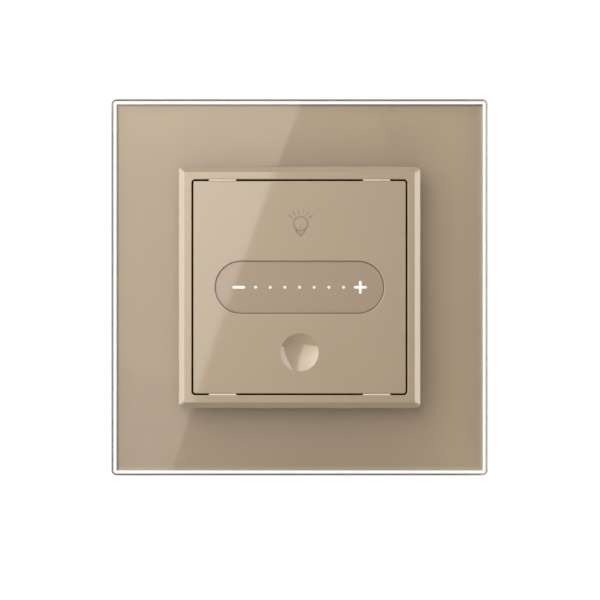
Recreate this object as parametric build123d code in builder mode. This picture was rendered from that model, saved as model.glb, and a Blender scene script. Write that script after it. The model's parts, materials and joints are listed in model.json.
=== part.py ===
from build123d import *
import os
from math import pi, radians, tan

# A touch dimmer for a wall box: a square glass frame with a raised bezel, a touch cover with a
# lit slider strip and a touch dish, and behind them a power insert with screw terminals and claws.
#
# X runs right, Z up, and the front faces -Y. The wall surface is y = 0. A "level" is a distance in
# front of the wall, so it is negative inside the wall box. All sizes are in millimetres.

# ---- Fits ----
slide_gap = 0.05          # faces that slide along each other
seat_gap = 0.2            # faces that stay apart without showing a gap
loose_gap = 0.3           # a piece dropped into its place
pin_gap = 0.03            # radial, round a pin or a thread

# ---- Mounting frame: a galvanised sheet that carries everything ----
plate_side = 70.0
plate_thickness = 1.0
plate_corner = 3.0
box_screw_pitch = 60.0    # between the two slots for the wall box's screws
box_slot_width = 4.0
box_slot_length = 6.6
corner_hole_pitch = 56.0
corner_hole_radius = 1.7
lip_length = 16.0
lip_offset = 21.0         # from the middle of a side to the middle of a lip
lip_rise = 1.0
notch_width = 5.0
notch_depth = 1.2
clip_offset = 32.4        # from the middle to a row of clip windows
clip_spread = 15.0
prong_width = 4.6
prong_thickness = 1.4
prong_reach = 1.5         # behind the wall surface

# ---- Screws ----
frame_screw_spot = 20.6   # from the middle, both ways
frame_screw_radius = 1.1
frame_screw_length = 8.0
frame_screw_head_radius = 2.0
frame_screw_head_height = 1.2
screw_slot_width = 0.8
screw_slot_depth = 0.7
cross_length = 2.8
cross_width = 0.6

# ---- Claws: they swing out and grip the wall box ----
claw_screw_radius = 1.5
claw_screw_length = 9.0
claw_thread_pitch = 0.5
claw_head_radius = 2.8
claw_head_height = 1.7
claw_screw_lever = 5.0    # from the hinge pin to the screw, along X
claw_swing = 20.0         # degrees
claw_width = 7.0
claw_sheet = 1.2
claw_pin_radius = 0.8
claw_pin_level = -4.0
claw_eye_radius = 1.5
claw_arm_length = 14.0
claw_tip_reach = 2.6
claw_flange_rim = 3.0     # flange beyond the screw's axis
claw_tooth_count = 4
claw_side_gap = 0.9       # between the eye and the box
claw_slot_play = 1.1
lug_thickness = 1.6
lug_rim = 1.0

# ---- Glass frame ----
carrier_face = 1.6
carrier_wall = 1.5
carrier_inset = 0.35
carrier_corner = 2.0
rib_thickness = 1.2
rib_pitch = 12.0
ribs_per_side = 5
tape_thickness = 0.4
tape_width = 6.0
tape_length = 56.0
pocket_play = 1.2        # round the mounting frame, each side
film_thickness = 0.1
film_margin = 1.05
glass_side = 86.0
glass_thickness = 4.0
glass_corner = 1.2
glass_front_chamfer = 0.4
glass_back_chamfer = 0.2
window_corner = 1.5

# ---- Bezel ----
bezel_side = 55.04
bezel_rise = 3.0
bezel_bevel = 1.3
bezel_corner = 0.9
bezel_land_corner = 0.3
bezel_edge_radius = 0.18
skirt_wall = 1.0
hook_width = 6.0
hook_reach = 0.5
hook_height = 0.6

# ---- Touch cover ----
cover_side = 48.4
cover_gap = 0.36          # the dark line between cover and bezel
cover_sink = 0.1
cover_wall = 1.8
cover_corner = 0.5
cover_edge_radius = 0.18
cover_skirt_wall = 1.2
cover_skirt_depth = 5.6
latch_spot = 17.55
latch_width = 6.2
latch_sink = 0.12
latch_height = 2.4
dish_offset = 14.8        # below the middle of the cover
dish_radius = 4.34
dish_depth = 1.0
slider_length = 38.5
slider_height = 12.02
slider_sink = 0.45
slider_edge_radius = 0.15
post_spot = 20.6
post_radius = 1.6
post_pin_radius = 0.7
post_head_radius = 1.2
post_head_height = 0.6

# ---- Slider strip and its lights ----
window_gap = 0.2          # the dark line round the strip
window_rim = 1.0
window_rim_thickness = 0.8
mark_spot = 13.84         # from the middle to the minus and plus marks
mark_length = 2.95
mark_width = 0.62
dot_count = 7
dot_pitch = 3.34
dot_radius = 0.33
foil_thickness = 0.2
foil_inset = 0.9
foil_hole_rim = 0.25
foil_tail_width = 8.0
foil_tail_spot = 12.0
electrode_thickness = 0.1
electrode_count = 8
electrode_pitch = 4.3
electrode_gap = 0.5
electrode_rise = 4.0
electrode_lean = 1.5
guide_rim = 1.2
guide_thickness = 1.2
baffle_rim = 1.3
baffle_height = 1.5
light_cell = 2.2
led_length = 1.6
led_width = 0.8
led_height = 0.7

# ---- Touch board ----
touch_board_thickness = 1.2
touch_board_gap = 0.3
chip_side = 5.0
chip_height = 0.9
chip_spot = 6.5
chip_edge = 0.25
spring_radius = 3.3
spring_wire = 0.45
spring_turns = 3.5
spring_wire_sides = 6
header_count = 6
header_pitch = 2.54
header_spot = -8.4
header_height = 2.5
header_width = 2.5
header_pin = 0.64
header_pin_tail = 0.7
header_pin_reach = 5.3    # into the socket

# ---- Insert housing ----
box_side = 46.0
box_depth = 24.0
box_wall = 1.5
box_floor = 1.6
box_corner = 3.0
boss_radius = 2.4
lid_rim = 0.4
lid_thickness = 1.6
plateau_side = 38.0
plateau_corner = 5.0
plateau_wall = 1.4
board_thickness = 1.6
socket_depth = 6.8
chamber_wall = 1.2
chamber_reach = 11.4      # from the floor of the box

# ---- Terminals ----
terminal_count = 3
terminal_pitch = 12.0
terminal_screw_radius = 1.75
terminal_head_radius = 2.8
terminal_head_height = 1.8
terminal_head_sink = 0.3
terminal_thread_pitch = 0.6
terminal_turns = 4.0
cage_width = 7.0
cage_depth = 7.0
cage_wall = 1.0
cage_thread_wall = 1.2
cage_back_gap = 2.0       # to the floor of the box
thread_room = 3.8         # between the busbar and the threaded wall, cage open
wire_room = 3.6
wire_width = 4.8
wire_flare = 0.5
busbar_width = 4.6
busbar_thickness = 0.8
busbar_overhang = 0.5
busbar_tail_width = 2.0
busbar_tail_length = 2.1

# ---- Power parts ----
sink_width = 31.0
sink_base = 2.0
fin_height = 5.0
fin_thickness = 1.2
fin_count = 7
transistor_spot = 7.5
transistor_width = 10.0
transistor_body_length = 9.0
transistor_tab_thickness = 1.3
transistor_height = 4.4
transistor_leg_length = 2.4
transistor_leg_width = 0.8
transistor_leg_thickness = 0.5
transistor_leg_pitch = 2.54
transistor_leg_count = 3
choke_radius = 6.0
choke_bore_radius = 3.2
choke_thickness = 5.0
choke_wire = 0.6
choke_turns = 16
choke_spot = (-13.0, -1.2)
supply_radius = 4.0
supply_length = 12.0
supply_groove = 0.4
supply_groove_height = 1.6
supply_spot = (1.9, -1.4)
varistor_radius = 3.5
varistor_thickness = 3.0
varistor_leg = 0.6
varistor_leg_length = 1.4
varistor_edge = 0.9
varistor_spot = (-4.4, -1.4)
filter_size = (12.4, 5.0, 10.0)
filter_spot = (13.6, 2.3)
fuse_size = (8.4, 4.0, 8.0)
fuse_spot = (12.0, -5.4)
part_edge_radius = 0.5

# ---- Levels, from the wall out to the front ----
plate_front = plate_thickness
carrier_face_back = plate_front + claw_head_height + seat_gap
carrier_front = carrier_face_back + carrier_face
film_back = carrier_front + tape_thickness
glass_back = film_back + film_thickness
glass_front = glass_back + glass_thickness
bezel_front = glass_front + bezel_rise
cover_front = bezel_front - cover_sink
cover_inner = cover_front - cover_wall
slider_front = cover_front - slider_sink
window_back = cover_inner - window_rim_thickness
foil_back = window_back - foil_thickness
electrode_back = foil_back - electrode_thickness
guide_front = electrode_back - slide_gap
guide_back = guide_front - guide_thickness
touch_board_front = guide_back - baffle_height
touch_board_back = touch_board_front - touch_board_thickness
header_back = touch_board_back - header_height
plateau_front = header_back - seat_gap
board_front = plateau_front - socket_depth
board_back = board_front - board_thickness
box_back = -box_depth
box_floor_front = box_back + box_floor
skirt_foot = plate_front + seat_gap
cover_skirt_foot = cover_inner - cover_skirt_depth

# ---- Sides, from the cover out to the glass ----
bezel_opening = cover_side + 2 * cover_gap
skirt_side = bezel_opening + 2 * skirt_wall
glass_window = skirt_side + 2 * loose_gap
film_side = glass_side - 2 * film_margin
film_window = glass_window + 2 * loose_gap
carrier_side = film_side - 2 * carrier_inset
carrier_window = skirt_side + 2 * seat_gap
pocket_side = plate_side + 2 * pocket_play
cover_inside = cover_side - 2 * cover_skirt_wall
touch_board_side = cover_inside - 2 * touch_board_gap
box_inside = box_side - 2 * box_wall
board_side = box_inside - 2 * loose_gap
plate_opening = plateau_side + 2 * seat_gap

# ---- Where things repeat ----
mark_centres = [-mark_spot]
for dot in range(dot_count):
    mark_centres.append((dot - (dot_count - 1) / 2) * dot_pitch)
mark_centres.append(mark_spot)
terminal_centres = []
for terminal in range(terminal_count):
    terminal_centres.append((terminal - (terminal_count - 1) / 2) * terminal_pitch)

# ---- Terminal heights, from the top of the box down ----
terminal_head_top = box_side / 2 - terminal_head_sink
terminal_head_seat = terminal_head_top - terminal_head_height
cage_travel = terminal_thread_pitch * terminal_turns
cage_top = terminal_head_seat - seat_gap / 2 - cage_travel
busbar_top = cage_top - cage_thread_wall - thread_room
busbar_bottom = busbar_top - busbar_thickness
cage_bottom = busbar_bottom - wire_room - cage_thread_wall
cage_back = box_floor_front + cage_back_gap
cage_front = cage_back + cage_depth
cage_middle = (cage_back + cage_front) / 2
chamber_floor_top = cage_bottom - loose_gap

# ---- Claw places, on the right-hand side ----
claw_pin_x = box_side / 2 + claw_side_gap + claw_eye_radius
claw_screw_x = claw_pin_x + claw_screw_lever
claw_flange_level = claw_pin_level - claw_screw_lever * tan(radians(claw_swing / 2))
claw_tip_level = claw_pin_level - claw_arm_length


def front(level):
    """A plane seen from the front: its x is X, its y is Z, and extrusions run to the user."""
    return Plane(origin=(0, -level, 0), x_dir=(1, 0, 0), z_dir=(0, -1, 0))


def save(piece, name):
    """Label a finished piece and write it as a STEP file."""
    piece.part.label = name
    export_step(piece.part, f"parts/{name}.step")


def draw_marks(growth, mode=Mode.ADD):
    """The minus bar, the dots and the plus sign, grown by the same margin all round."""
    long = mark_length + 2 * growth
    wide = mark_width + 2 * growth
    with Locations((-mark_spot, 0)):
        SlotOverall(long, wide, mode=mode)
    with Locations((mark_spot, 0)):
        SlotOverall(long, wide, mode=mode)
        SlotOverall(long, wide, rotation=90, mode=mode)
    with GridLocations(dot_pitch, 0, dot_count, 1):
        Circle(dot_radius + growth, mode=mode)


def draw_corners(spot, radius, mode=Mode.ADD):
    """Four circles, the same distance from the middle both ways."""
    with GridLocations(2 * spot, 2 * spot, 2, 2):
        Circle(radius, mode=mode)


os.makedirs("parts", exist_ok=True)

# ==== Glass frame ====

with BuildPart() as glass_panel:
    with BuildSketch(front(glass_back)):
        RectangleRounded(glass_side, glass_side, glass_corner)
        RectangleRounded(glass_window, glass_window, window_corner, mode=Mode.SUBTRACT)
    extrude(amount=glass_thickness)
    chamfer(glass_panel.faces().sort_by(Axis.Y)[0].outer_wire().edges(), glass_front_chamfer)
    chamfer(glass_panel.faces().sort_by(Axis.Y)[-1].outer_wire().edges(), glass_back_chamfer)
save(glass_panel, "glass_panel")

with BuildPart() as colour_film:
    with BuildSketch(front(film_back)):
        Rectangle(film_side, film_side)
        Rectangle(film_window, film_window, mode=Mode.SUBTRACT)
    extrude(amount=film_thickness)
save(colour_film, "colour_film")

with BuildPart() as bonding_tape:
    with BuildSketch(front(carrier_front)):
        with PolarLocations((carrier_side + film_window) / 4, 4):
            Rectangle(tape_width, tape_length)
    extrude(amount=tape_thickness)
save(bonding_tape, "bonding_tape")

# The carrier is a moulded tray: a face behind the glass, an outer wall, a wall round the pocket
# for the mounting frame, ribs between the two, and four prongs into the mounting frame.
with BuildPart() as glass_carrier:
    with BuildSketch(front(carrier_face_back)):
        RectangleRounded(carrier_side, carrier_side, carrier_corner)
        RectangleRounded(carrier_window, carrier_window, window_corner, mode=Mode.SUBTRACT)
    extrude(amount=carrier_face)
    with BuildSketch(front(0)):
        RectangleRounded(carrier_side, carrier_side, carrier_corner)
        inner_side = carrier_side - 2 * carrier_wall
        RectangleRounded(inner_side, inner_side, carrier_corner, mode=Mode.SUBTRACT)
        with PolarLocations((carrier_side + pocket_side) / 4, 4):
            with GridLocations(0, rib_pitch, 1, ribs_per_side):
                Rectangle((carrier_side - pocket_side) / 2, rib_thickness)
        Rectangle(pocket_side + 2 * carrier_wall, pocket_side + 2 * carrier_wall)
        RectangleRounded(pocket_side, pocket_side, plate_corner, mode=Mode.SUBTRACT)
    extrude(amount=carrier_face_back)
    with BuildSketch(front(-prong_reach)):
        with GridLocations(2 * clip_offset, 2 * clip_spread, 2, 2):
            Rectangle(prong_thickness, prong_width)
    extrude(amount=carrier_face_back + prong_reach)
save(glass_carrier, "glass_carrier")

with BuildPart() as bezel_ring:
    with BuildSketch(front(glass_front)):
        RectangleRounded(bezel_side, bezel_side, bezel_corner)
    extrude(amount=bezel_rise - bezel_bevel)
    with BuildSketch(front(bezel_front - bezel_bevel)):
        RectangleRounded(bezel_side, bezel_side, bezel_corner)
    with BuildSketch(front(bezel_front)):
        bezel_land_side = bezel_side - 2 * bezel_bevel
        RectangleRounded(bezel_land_side, bezel_land_side, bezel_land_corner)
    loft(ruled=True)
    with BuildSketch(front(skirt_foot)):
        RectangleRounded(skirt_side, skirt_side, window_corner)
    extrude(amount=glass_front - skirt_foot)
    with BuildSketch(front(carrier_face_back - seat_gap / 2)):
        with PolarLocations(skirt_side / 2, 4):
            Rectangle(2 * hook_reach, hook_width)
    extrude(amount=-hook_height)
    with BuildSketch(front(skirt_foot)):
        RectangleRounded(bezel_opening, bezel_opening, cover_corner + cover_gap)
    extrude(amount=bezel_front - skirt_foot, mode=Mode.SUBTRACT)
    fillet(bezel_ring.faces().sort_by(Axis.Y)[0].inner_wires()[0].edges(), bezel_edge_radius)
save(bezel_ring, "bezel_ring")

# ==== Touch cover and what it carries ====

with BuildPart() as touch_cover:
    with BuildSketch(front(cover_inner)):
        RectangleRounded(cover_side, cover_side, cover_corner)
    extrude(amount=cover_wall)
    fillet(touch_cover.faces().sort_by(Axis.Y)[0].edges(), cover_edge_radius)
    with BuildSketch(front(cover_skirt_foot)):
        RectangleRounded(cover_side, cover_side, cover_corner)
        Rectangle(cover_inside, cover_inside, mode=Mode.SUBTRACT)
    extrude(amount=cover_skirt_depth)
    with BuildSketch(front(cover_front - latch_sink)):
        with GridLocations(2 * latch_spot, cover_side, 2, 2):
            Rectangle(latch_width, 2 * (cover_gap - slide_gap))
    extrude(amount=-latch_height)
    with BuildSketch(front(cover_inner)):
        SlotOverall(slider_length, slider_height)
    extrude(amount=cover_wall, mode=Mode.SUBTRACT)
    slider_rim = touch_cover.faces().sort_by(Axis.Y)[0].inner_wires()[0].edges()
    fillet(slider_rim, slider_edge_radius)
    dish_sphere = (dish_radius**2 + dish_depth**2) / (2 * dish_depth)
    with Locations((0, -cover_front - dish_sphere + dish_depth, -dish_offset)):
        Sphere(dish_sphere, mode=Mode.SUBTRACT)
    with BuildSketch(front(touch_board_front)):
        draw_corners(post_spot, post_radius)
    extrude(amount=cover_inner - touch_board_front)
    with BuildSketch(front(touch_board_back)):
        draw_corners(post_spot, post_pin_radius)
    extrude(amount=touch_board_thickness)
    with BuildSketch(front(touch_board_back)):
        draw_corners(post_spot, post_head_radius)
    extrude(amount=-post_head_height)
save(touch_cover, "touch_cover")

with BuildPart() as slider_window:
    with BuildSketch(front(cover_inner)):
        SlotOverall(slider_length - 2 * window_gap, slider_height - 2 * window_gap)
    extrude(amount=slider_front - cover_inner)
    with BuildSketch(front(window_back)):
        SlotOverall(slider_length + 2 * window_rim, slider_height + 2 * window_rim)
    extrude(amount=window_rim_thickness)
    with BuildSketch(front(window_back)):
        draw_marks(pin_gap)
    extrude(amount=slider_front - window_back, mode=Mode.SUBTRACT)
save(slider_window, "slider_window")

# The light guide is one clear bar; its pegs fill the marks of the window.
guide_length = 2 * mark_spot + mark_length + 2 * guide_rim
guide_width = mark_length + 2 * guide_rim
with BuildPart() as light_guide:
    with BuildSketch(front(guide_back)):
        SlotOverall(guide_length, guide_width)
    extrude(amount=guide_thickness)
    with BuildSketch(front(guide_front)):
        draw_marks(0)
    extrude(amount=slider_front - guide_front)
save(light_guide, "light_guide")

# The baffle gives each light its own cell and holds the guide in a rim.
with BuildPart() as light_baffle:
    with BuildSketch(front(touch_board_front)):
        SlotOverall(guide_length + 2 * baffle_rim, guide_width + 2 * baffle_rim)
        with Locations(*[(centre, 0) for centre in mark_centres]):
            Rectangle(light_cell, light_cell, mode=Mode.SUBTRACT)
    extrude(amount=baffle_height)
    with BuildSketch(front(guide_back)):
        SlotOverall(guide_length + 2 * baffle_rim, guide_width + 2 * baffle_rim)
        SlotOverall(guide_length + 2 * slide_gap, guide_width + 2 * slide_gap, mode=Mode.SUBTRACT)
    extrude(amount=guide_thickness)
save(light_baffle, "light_baffle")

# The foil carries the slider's electrodes behind the window, and its tail runs to the board.
foil_height = slider_height - 2 * foil_inset
with BuildPart() as slider_foil:
    with BuildSketch(front(foil_back)):
        SlotOverall(slider_length - 2 * foil_inset, foil_height)
        draw_marks(foil_hole_rim, Mode.SUBTRACT)
    extrude(amount=foil_thickness)
    with BuildSketch(front(touch_board_front)):
        with Locations((foil_tail_spot, (foil_height - foil_thickness) / 2)):
            Rectangle(foil_tail_width, foil_thickness)
    extrude(amount=window_back - touch_board_front)
save(slider_foil, "slider_foil")

with BuildPart() as slider_electrodes:
    pad_width = electrode_pitch - electrode_gap
    pad_left = -(pad_width + electrode_lean) / 2
    with BuildSketch(front(electrode_back)):
        with GridLocations(electrode_pitch, 0, electrode_count, 1):
            Polygon(
                (pad_left, electrode_rise),
                (pad_left + pad_width, electrode_rise),
                (pad_left + pad_width + electrode_lean, 0),
                (pad_left + pad_width, -electrode_rise),
                (pad_left, -electrode_rise),
                (pad_left + electrode_lean, 0),
                align=None,
            )
        draw_marks(foil_hole_rim, Mode.SUBTRACT)
    extrude(amount=electrode_thickness)
save(slider_electrodes, "slider_electrodes")

with BuildPart() as marker_leds:
    with BuildSketch(front(touch_board_front)):
        with Locations(*[(centre, 0) for centre in mark_centres]):
            Rectangle(led_length, led_width)
    extrude(amount=led_height)
save(marker_leds, "marker_leds")

header_length = header_count * header_pitch
with BuildPart() as touch_board:
    with BuildSketch(front(touch_board_back)):
        Rectangle(touch_board_side, touch_board_side)
        draw_corners(post_spot, post_pin_radius + slide_gap, Mode.SUBTRACT)
        with Locations((0, header_spot)):
            with GridLocations(header_pitch, 0, header_count, 1):
                Circle(header_pin, mode=Mode.SUBTRACT)
    extrude(amount=touch_board_thickness)
save(touch_board, "touch_board")

with BuildPart() as touch_chip:
    with BuildSketch(front(touch_board_back)):
        with Locations((0, chip_spot)):
            Rectangle(chip_side, chip_side)
    extrude(amount=-chip_height)
    chamfer(touch_chip.faces().sort_by(Axis.Y)[-1].edges(), chip_edge)
save(touch_chip, "touch_chip")

# The spring carries the touch of the dish to the board.
spring_height = cover_inner - touch_board_front - spring_wire - 2 * pin_gap
with BuildPart() as touch_spring:
    with BuildLine() as spring_line:
        Helix(
            pitch=spring_height / spring_turns,
            height=spring_height,
            radius=spring_radius,
            center=(0, -touch_board_front - spring_wire / 2 - pin_gap, -dish_offset),
            direction=(0, -1, 0),
        )
    with BuildSketch(Plane(origin=spring_line.line @ 0, z_dir=spring_line.line % 0)):
        RegularPolygon(spring_wire / 2, spring_wire_sides)
    sweep(is_frenet=True)
save(touch_spring, "touch_spring")

with BuildPart() as header_base:
    with BuildSketch(front(header_back)):
        with Locations((0, header_spot)):
            Rectangle(header_length, header_width)
            with GridLocations(header_pitch, 0, header_count, 1):
                Rectangle(header_pin, header_pin, mode=Mode.SUBTRACT)
    extrude(amount=header_height)
save(header_base, "header_base")

header_pin_tip = plateau_front - header_pin_reach
with BuildPart() as header_pins:
    with BuildSketch(front(header_pin_tip)):
        with Locations((0, header_spot)):
            with GridLocations(header_pitch, 0, header_count, 1):
                Rectangle(header_pin, header_pin)
    extrude(amount=touch_board_front + header_pin_tail - header_pin_tip)
save(header_pins, "header_pins")

# ==== Mounting frame and its screws ====

with BuildPart() as mounting_frame:
    with BuildSketch(front(0)):
        RectangleRounded(plate_side, plate_side, plate_corner)
        RectangleRounded(plate_opening, plate_opening, plateau_corner, mode=Mode.SUBTRACT)
        with GridLocations(0, box_screw_pitch, 1, 2):
            SlotOverall(box_slot_length, box_slot_width, rotation=90, mode=Mode.SUBTRACT)
        draw_corners(corner_hole_pitch / 2, corner_hole_radius, Mode.SUBTRACT)
        draw_corners(frame_screw_spot, frame_screw_radius + seat_gap, Mode.SUBTRACT)
        with GridLocations(2 * claw_screw_x, 0, 2, 1):
            Circle(claw_screw_radius + seat_gap, mode=Mode.SUBTRACT)
        with GridLocations(2 * clip_offset, 2 * clip_spread, 2, 2):
            window_width = prong_thickness + 2 * seat_gap
            Rectangle(window_width, prong_width + 2 * seat_gap, mode=Mode.SUBTRACT)
        with PolarLocations(plate_side / 2, 4):
            Rectangle(2 * notch_depth, notch_width, mode=Mode.SUBTRACT)
    extrude(amount=plate_thickness)
    with BuildSketch(front(plate_front)):
        with PolarLocations((plate_side - plate_thickness) / 2, 4):
            with GridLocations(0, 2 * lip_offset, 1, 2):
                Rectangle(plate_thickness, lip_length)
    extrude(amount=lip_rise)
save(mounting_frame, "mounting_frame")

with BuildPart() as frame_screws:
    with BuildSketch(front(plate_front)):
        draw_corners(frame_screw_spot, frame_screw_radius)
    extrude(amount=-frame_screw_length)
    with BuildSketch(front(plate_front)):
        draw_corners(frame_screw_spot, frame_screw_head_radius)
    extrude(amount=frame_screw_head_height)
    with BuildSketch(front(plate_front + frame_screw_head_height)):
        with GridLocations(2 * frame_screw_spot, 2 * frame_screw_spot, 2, 2):
            Rectangle(cross_length, cross_width)
            Rectangle(cross_width, cross_length)
    extrude(amount=-screw_slot_depth, mode=Mode.SUBTRACT)
save(frame_screws, "frame_screws")

# ==== Insert housing ====

socket_length = header_length + 2 * seat_gap
socket_width = header_width + 2 * seat_gap
with BuildPart() as housing_lid:
    with BuildSketch(front(-lid_thickness)):
        RectangleRounded(box_side + 2 * lid_rim, box_side + 2 * lid_rim, box_corner)
    extrude(amount=lid_thickness)
    with BuildSketch(front(0)):
        RectangleRounded(plateau_side, plateau_side, plateau_corner)
    extrude(amount=plateau_front)
    with BuildSketch(front(-lid_thickness)):
        hollow_side = plateau_side - 2 * plateau_wall
        RectangleRounded(hollow_side, hollow_side, plateau_corner - plateau_wall)
    extrude(amount=lid_thickness + plateau_front - plateau_wall, mode=Mode.SUBTRACT)
    with BuildSketch(front(plateau_front)):
        with Locations((0, header_spot)):
            Rectangle(socket_length + 2 * seat_gap, socket_width + 2 * seat_gap)
    extrude(amount=-plateau_wall, mode=Mode.SUBTRACT)
    with BuildSketch(front(0)):
        draw_corners(frame_screw_spot, frame_screw_radius + seat_gap)
    extrude(amount=-lid_thickness, mode=Mode.SUBTRACT)
save(housing_lid, "housing_lid")

chamber_height = box_inside / 2 - chamber_floor_top + chamber_wall
chamber_span = terminal_count * terminal_pitch
wire_middle = busbar_bottom - wire_room / 2
with BuildPart() as housing_box:
    with BuildSketch(front(box_back)):
        RectangleRounded(box_side, box_side, box_corner)
    extrude(amount=box_depth - lid_thickness)
    with BuildSketch(front(box_floor_front)):
        RectangleRounded(box_inside, box_inside, box_corner - box_wall)
    extrude(amount=box_depth - lid_thickness - box_floor, mode=Mode.SUBTRACT)
    with BuildSketch(front(box_back)):
        draw_corners(frame_screw_spot, boss_radius)
    extrude(amount=box_depth - lid_thickness)
    with BuildSketch(front(-lid_thickness)):
        draw_corners(frame_screw_spot, frame_screw_radius + pin_gap)
    extrude(amount=-frame_screw_length, mode=Mode.SUBTRACT)
    # Moulded chambers, one for each terminal, with a floor under the row
    with BuildSketch(front(box_floor_front)):
        with Locations((0, chamber_floor_top - chamber_wall / 2)):
            Rectangle(chamber_span + chamber_wall, chamber_wall)
        with Locations((0, chamber_floor_top - chamber_wall + chamber_height / 2)):
            with GridLocations(terminal_pitch, 0, terminal_count + 1, 1):
                Rectangle(chamber_wall, chamber_height)
    extrude(amount=chamber_reach)
    # Wire entries in the back, flared outwards, and screw holes in the top
    for centre in terminal_centres:
        with BuildSketch(front(box_floor_front)):
            with Locations((centre, wire_middle)):
                Rectangle(wire_width, wire_room)
        extrude(amount=-box_floor, mode=Mode.SUBTRACT)
    for entry in housing_box.faces().sort_by(Axis.Y)[-1].inner_wires():
        chamfer(entry.edges(), wire_flare)
    with BuildSketch(Plane.XY.offset(box_side / 2)):
        with Locations(*[(centre, -cage_middle) for centre in terminal_centres]):
            Circle(terminal_head_radius + seat_gap)
    extrude(amount=-box_wall, mode=Mode.SUBTRACT)
    # Lugs for the hinge pins of the claws
    lug_offset = claw_width / 2 + loose_gap + lug_thickness / 2
    lug_rim_radius = claw_pin_radius + lug_rim
    for side in (-1, 1):
        for rise in (-lug_offset - lug_thickness / 2, lug_offset - lug_thickness / 2):
            with BuildSketch(Plane.XY.offset(rise)):
                with Locations((side * claw_pin_x, -claw_pin_level)):
                    Circle(lug_rim_radius)
                root = claw_pin_x - box_side / 2 + box_wall / 2
                with Locations((side * (claw_pin_x - root / 2), -claw_pin_level)):
                    Rectangle(root, 2 * lug_rim_radius)
                with Locations((side * claw_pin_x, -claw_pin_level)):
                    Circle(claw_pin_radius + pin_gap, mode=Mode.SUBTRACT)
            extrude(amount=lug_thickness)
save(housing_box, "housing_box")

with BuildPart() as header_socket:
    with BuildSketch(front(board_front)):
        with Locations((0, header_spot)):
            Rectangle(socket_length, socket_width)
    extrude(amount=socket_depth)
    with BuildSketch(front(plateau_front)):
        with Locations((0, header_spot)):
            with GridLocations(header_pitch, 0, header_count, 1):
                Rectangle(header_pin + 2 * seat_gap, header_pin + 2 * seat_gap)
    extrude(amount=-(header_pin_reach + seat_gap), mode=Mode.SUBTRACT)
save(header_socket, "header_socket")

with BuildPart() as power_board:
    with BuildSketch(front(board_back)):
        Rectangle(board_side, board_side)
        draw_corners(frame_screw_spot, boss_radius + loose_gap, Mode.SUBTRACT)
        with Locations(*[(centre, busbar_top - busbar_thickness / 2) for centre in terminal_centres]):
            slot_width = busbar_tail_width + 2 * slide_gap
            Rectangle(slot_width, busbar_thickness + 2 * slide_gap, mode=Mode.SUBTRACT)
    extrude(amount=board_thickness)
save(power_board, "power_board")

# ==== Terminals ====

with BuildPart() as terminal_busbars:
    busbar_back = cage_back - busbar_overhang
    for centre in terminal_centres:
        with BuildSketch(front(busbar_back)):
            with Locations((centre, busbar_top - busbar_thickness / 2)):
                Rectangle(busbar_width, busbar_thickness)
        extrude(amount=board_back - busbar_back)
        with BuildSketch(front(board_back)):
            with Locations((centre, busbar_top - busbar_thickness / 2)):
                Rectangle(busbar_tail_width, busbar_thickness)
        extrude(amount=busbar_tail_length)
save(terminal_busbars, "terminal_busbars")

for number, centre in enumerate(terminal_centres, start=1):
    # The cage is a box clamp, open along the wire, with a thread in its top wall.
    with BuildPart() as terminal_cage:
        cage_height = cage_top - cage_bottom
        with BuildSketch(front(cage_back)):
            with Locations((centre, (cage_top + cage_bottom) / 2)):
                RectangleRounded(cage_width, cage_height, cage_wall / 2)
                inner_height = cage_height - 2 * cage_thread_wall
                Rectangle(cage_width - 2 * cage_wall, inner_height, mode=Mode.SUBTRACT)
        extrude(amount=cage_depth)
        with BuildSketch(Plane.XY.offset(cage_top)):
            with Locations((centre, -cage_middle)):
                Circle(terminal_screw_radius + pin_gap)
        extrude(amount=-cage_thread_wall, mode=Mode.SUBTRACT)
    save(terminal_cage, f"terminal_cage_{number}")

    with BuildPart() as terminal_screw:
        with BuildSketch(Plane.XY.offset(busbar_top + slide_gap)):
            with Locations((centre, -cage_middle)):
                Circle(terminal_screw_radius)
        extrude(amount=terminal_head_seat - busbar_top - slide_gap)
        with BuildSketch(Plane.XY.offset(terminal_head_seat)):
            with Locations((centre, -cage_middle)):
                Circle(terminal_head_radius)
        extrude(amount=terminal_head_height)
        with BuildSketch(Plane.XY.offset(terminal_head_top)):
            with Locations((centre, -cage_middle)):
                Rectangle(2 * terminal_head_radius, screw_slot_width)
        extrude(amount=-screw_slot_depth, mode=Mode.SUBTRACT)
    save(terminal_screw, f"terminal_screw_{number}")

# ==== Claws ====

with BuildPart() as claw_pin_right:
    pin_half = lug_offset + lug_thickness / 2
    with BuildSketch(Plane.XY.offset(-pin_half)):
        with Locations((claw_pin_x, -claw_pin_level)):
            Circle(claw_pin_radius)
    extrude(amount=2 * pin_half)
save(claw_pin_right, "claw_pin_right")

with BuildPart() as claw_pin_left:
    mirror(claw_pin_right.part, about=Plane.YZ)
save(claw_pin_left, "claw_pin_left")

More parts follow.
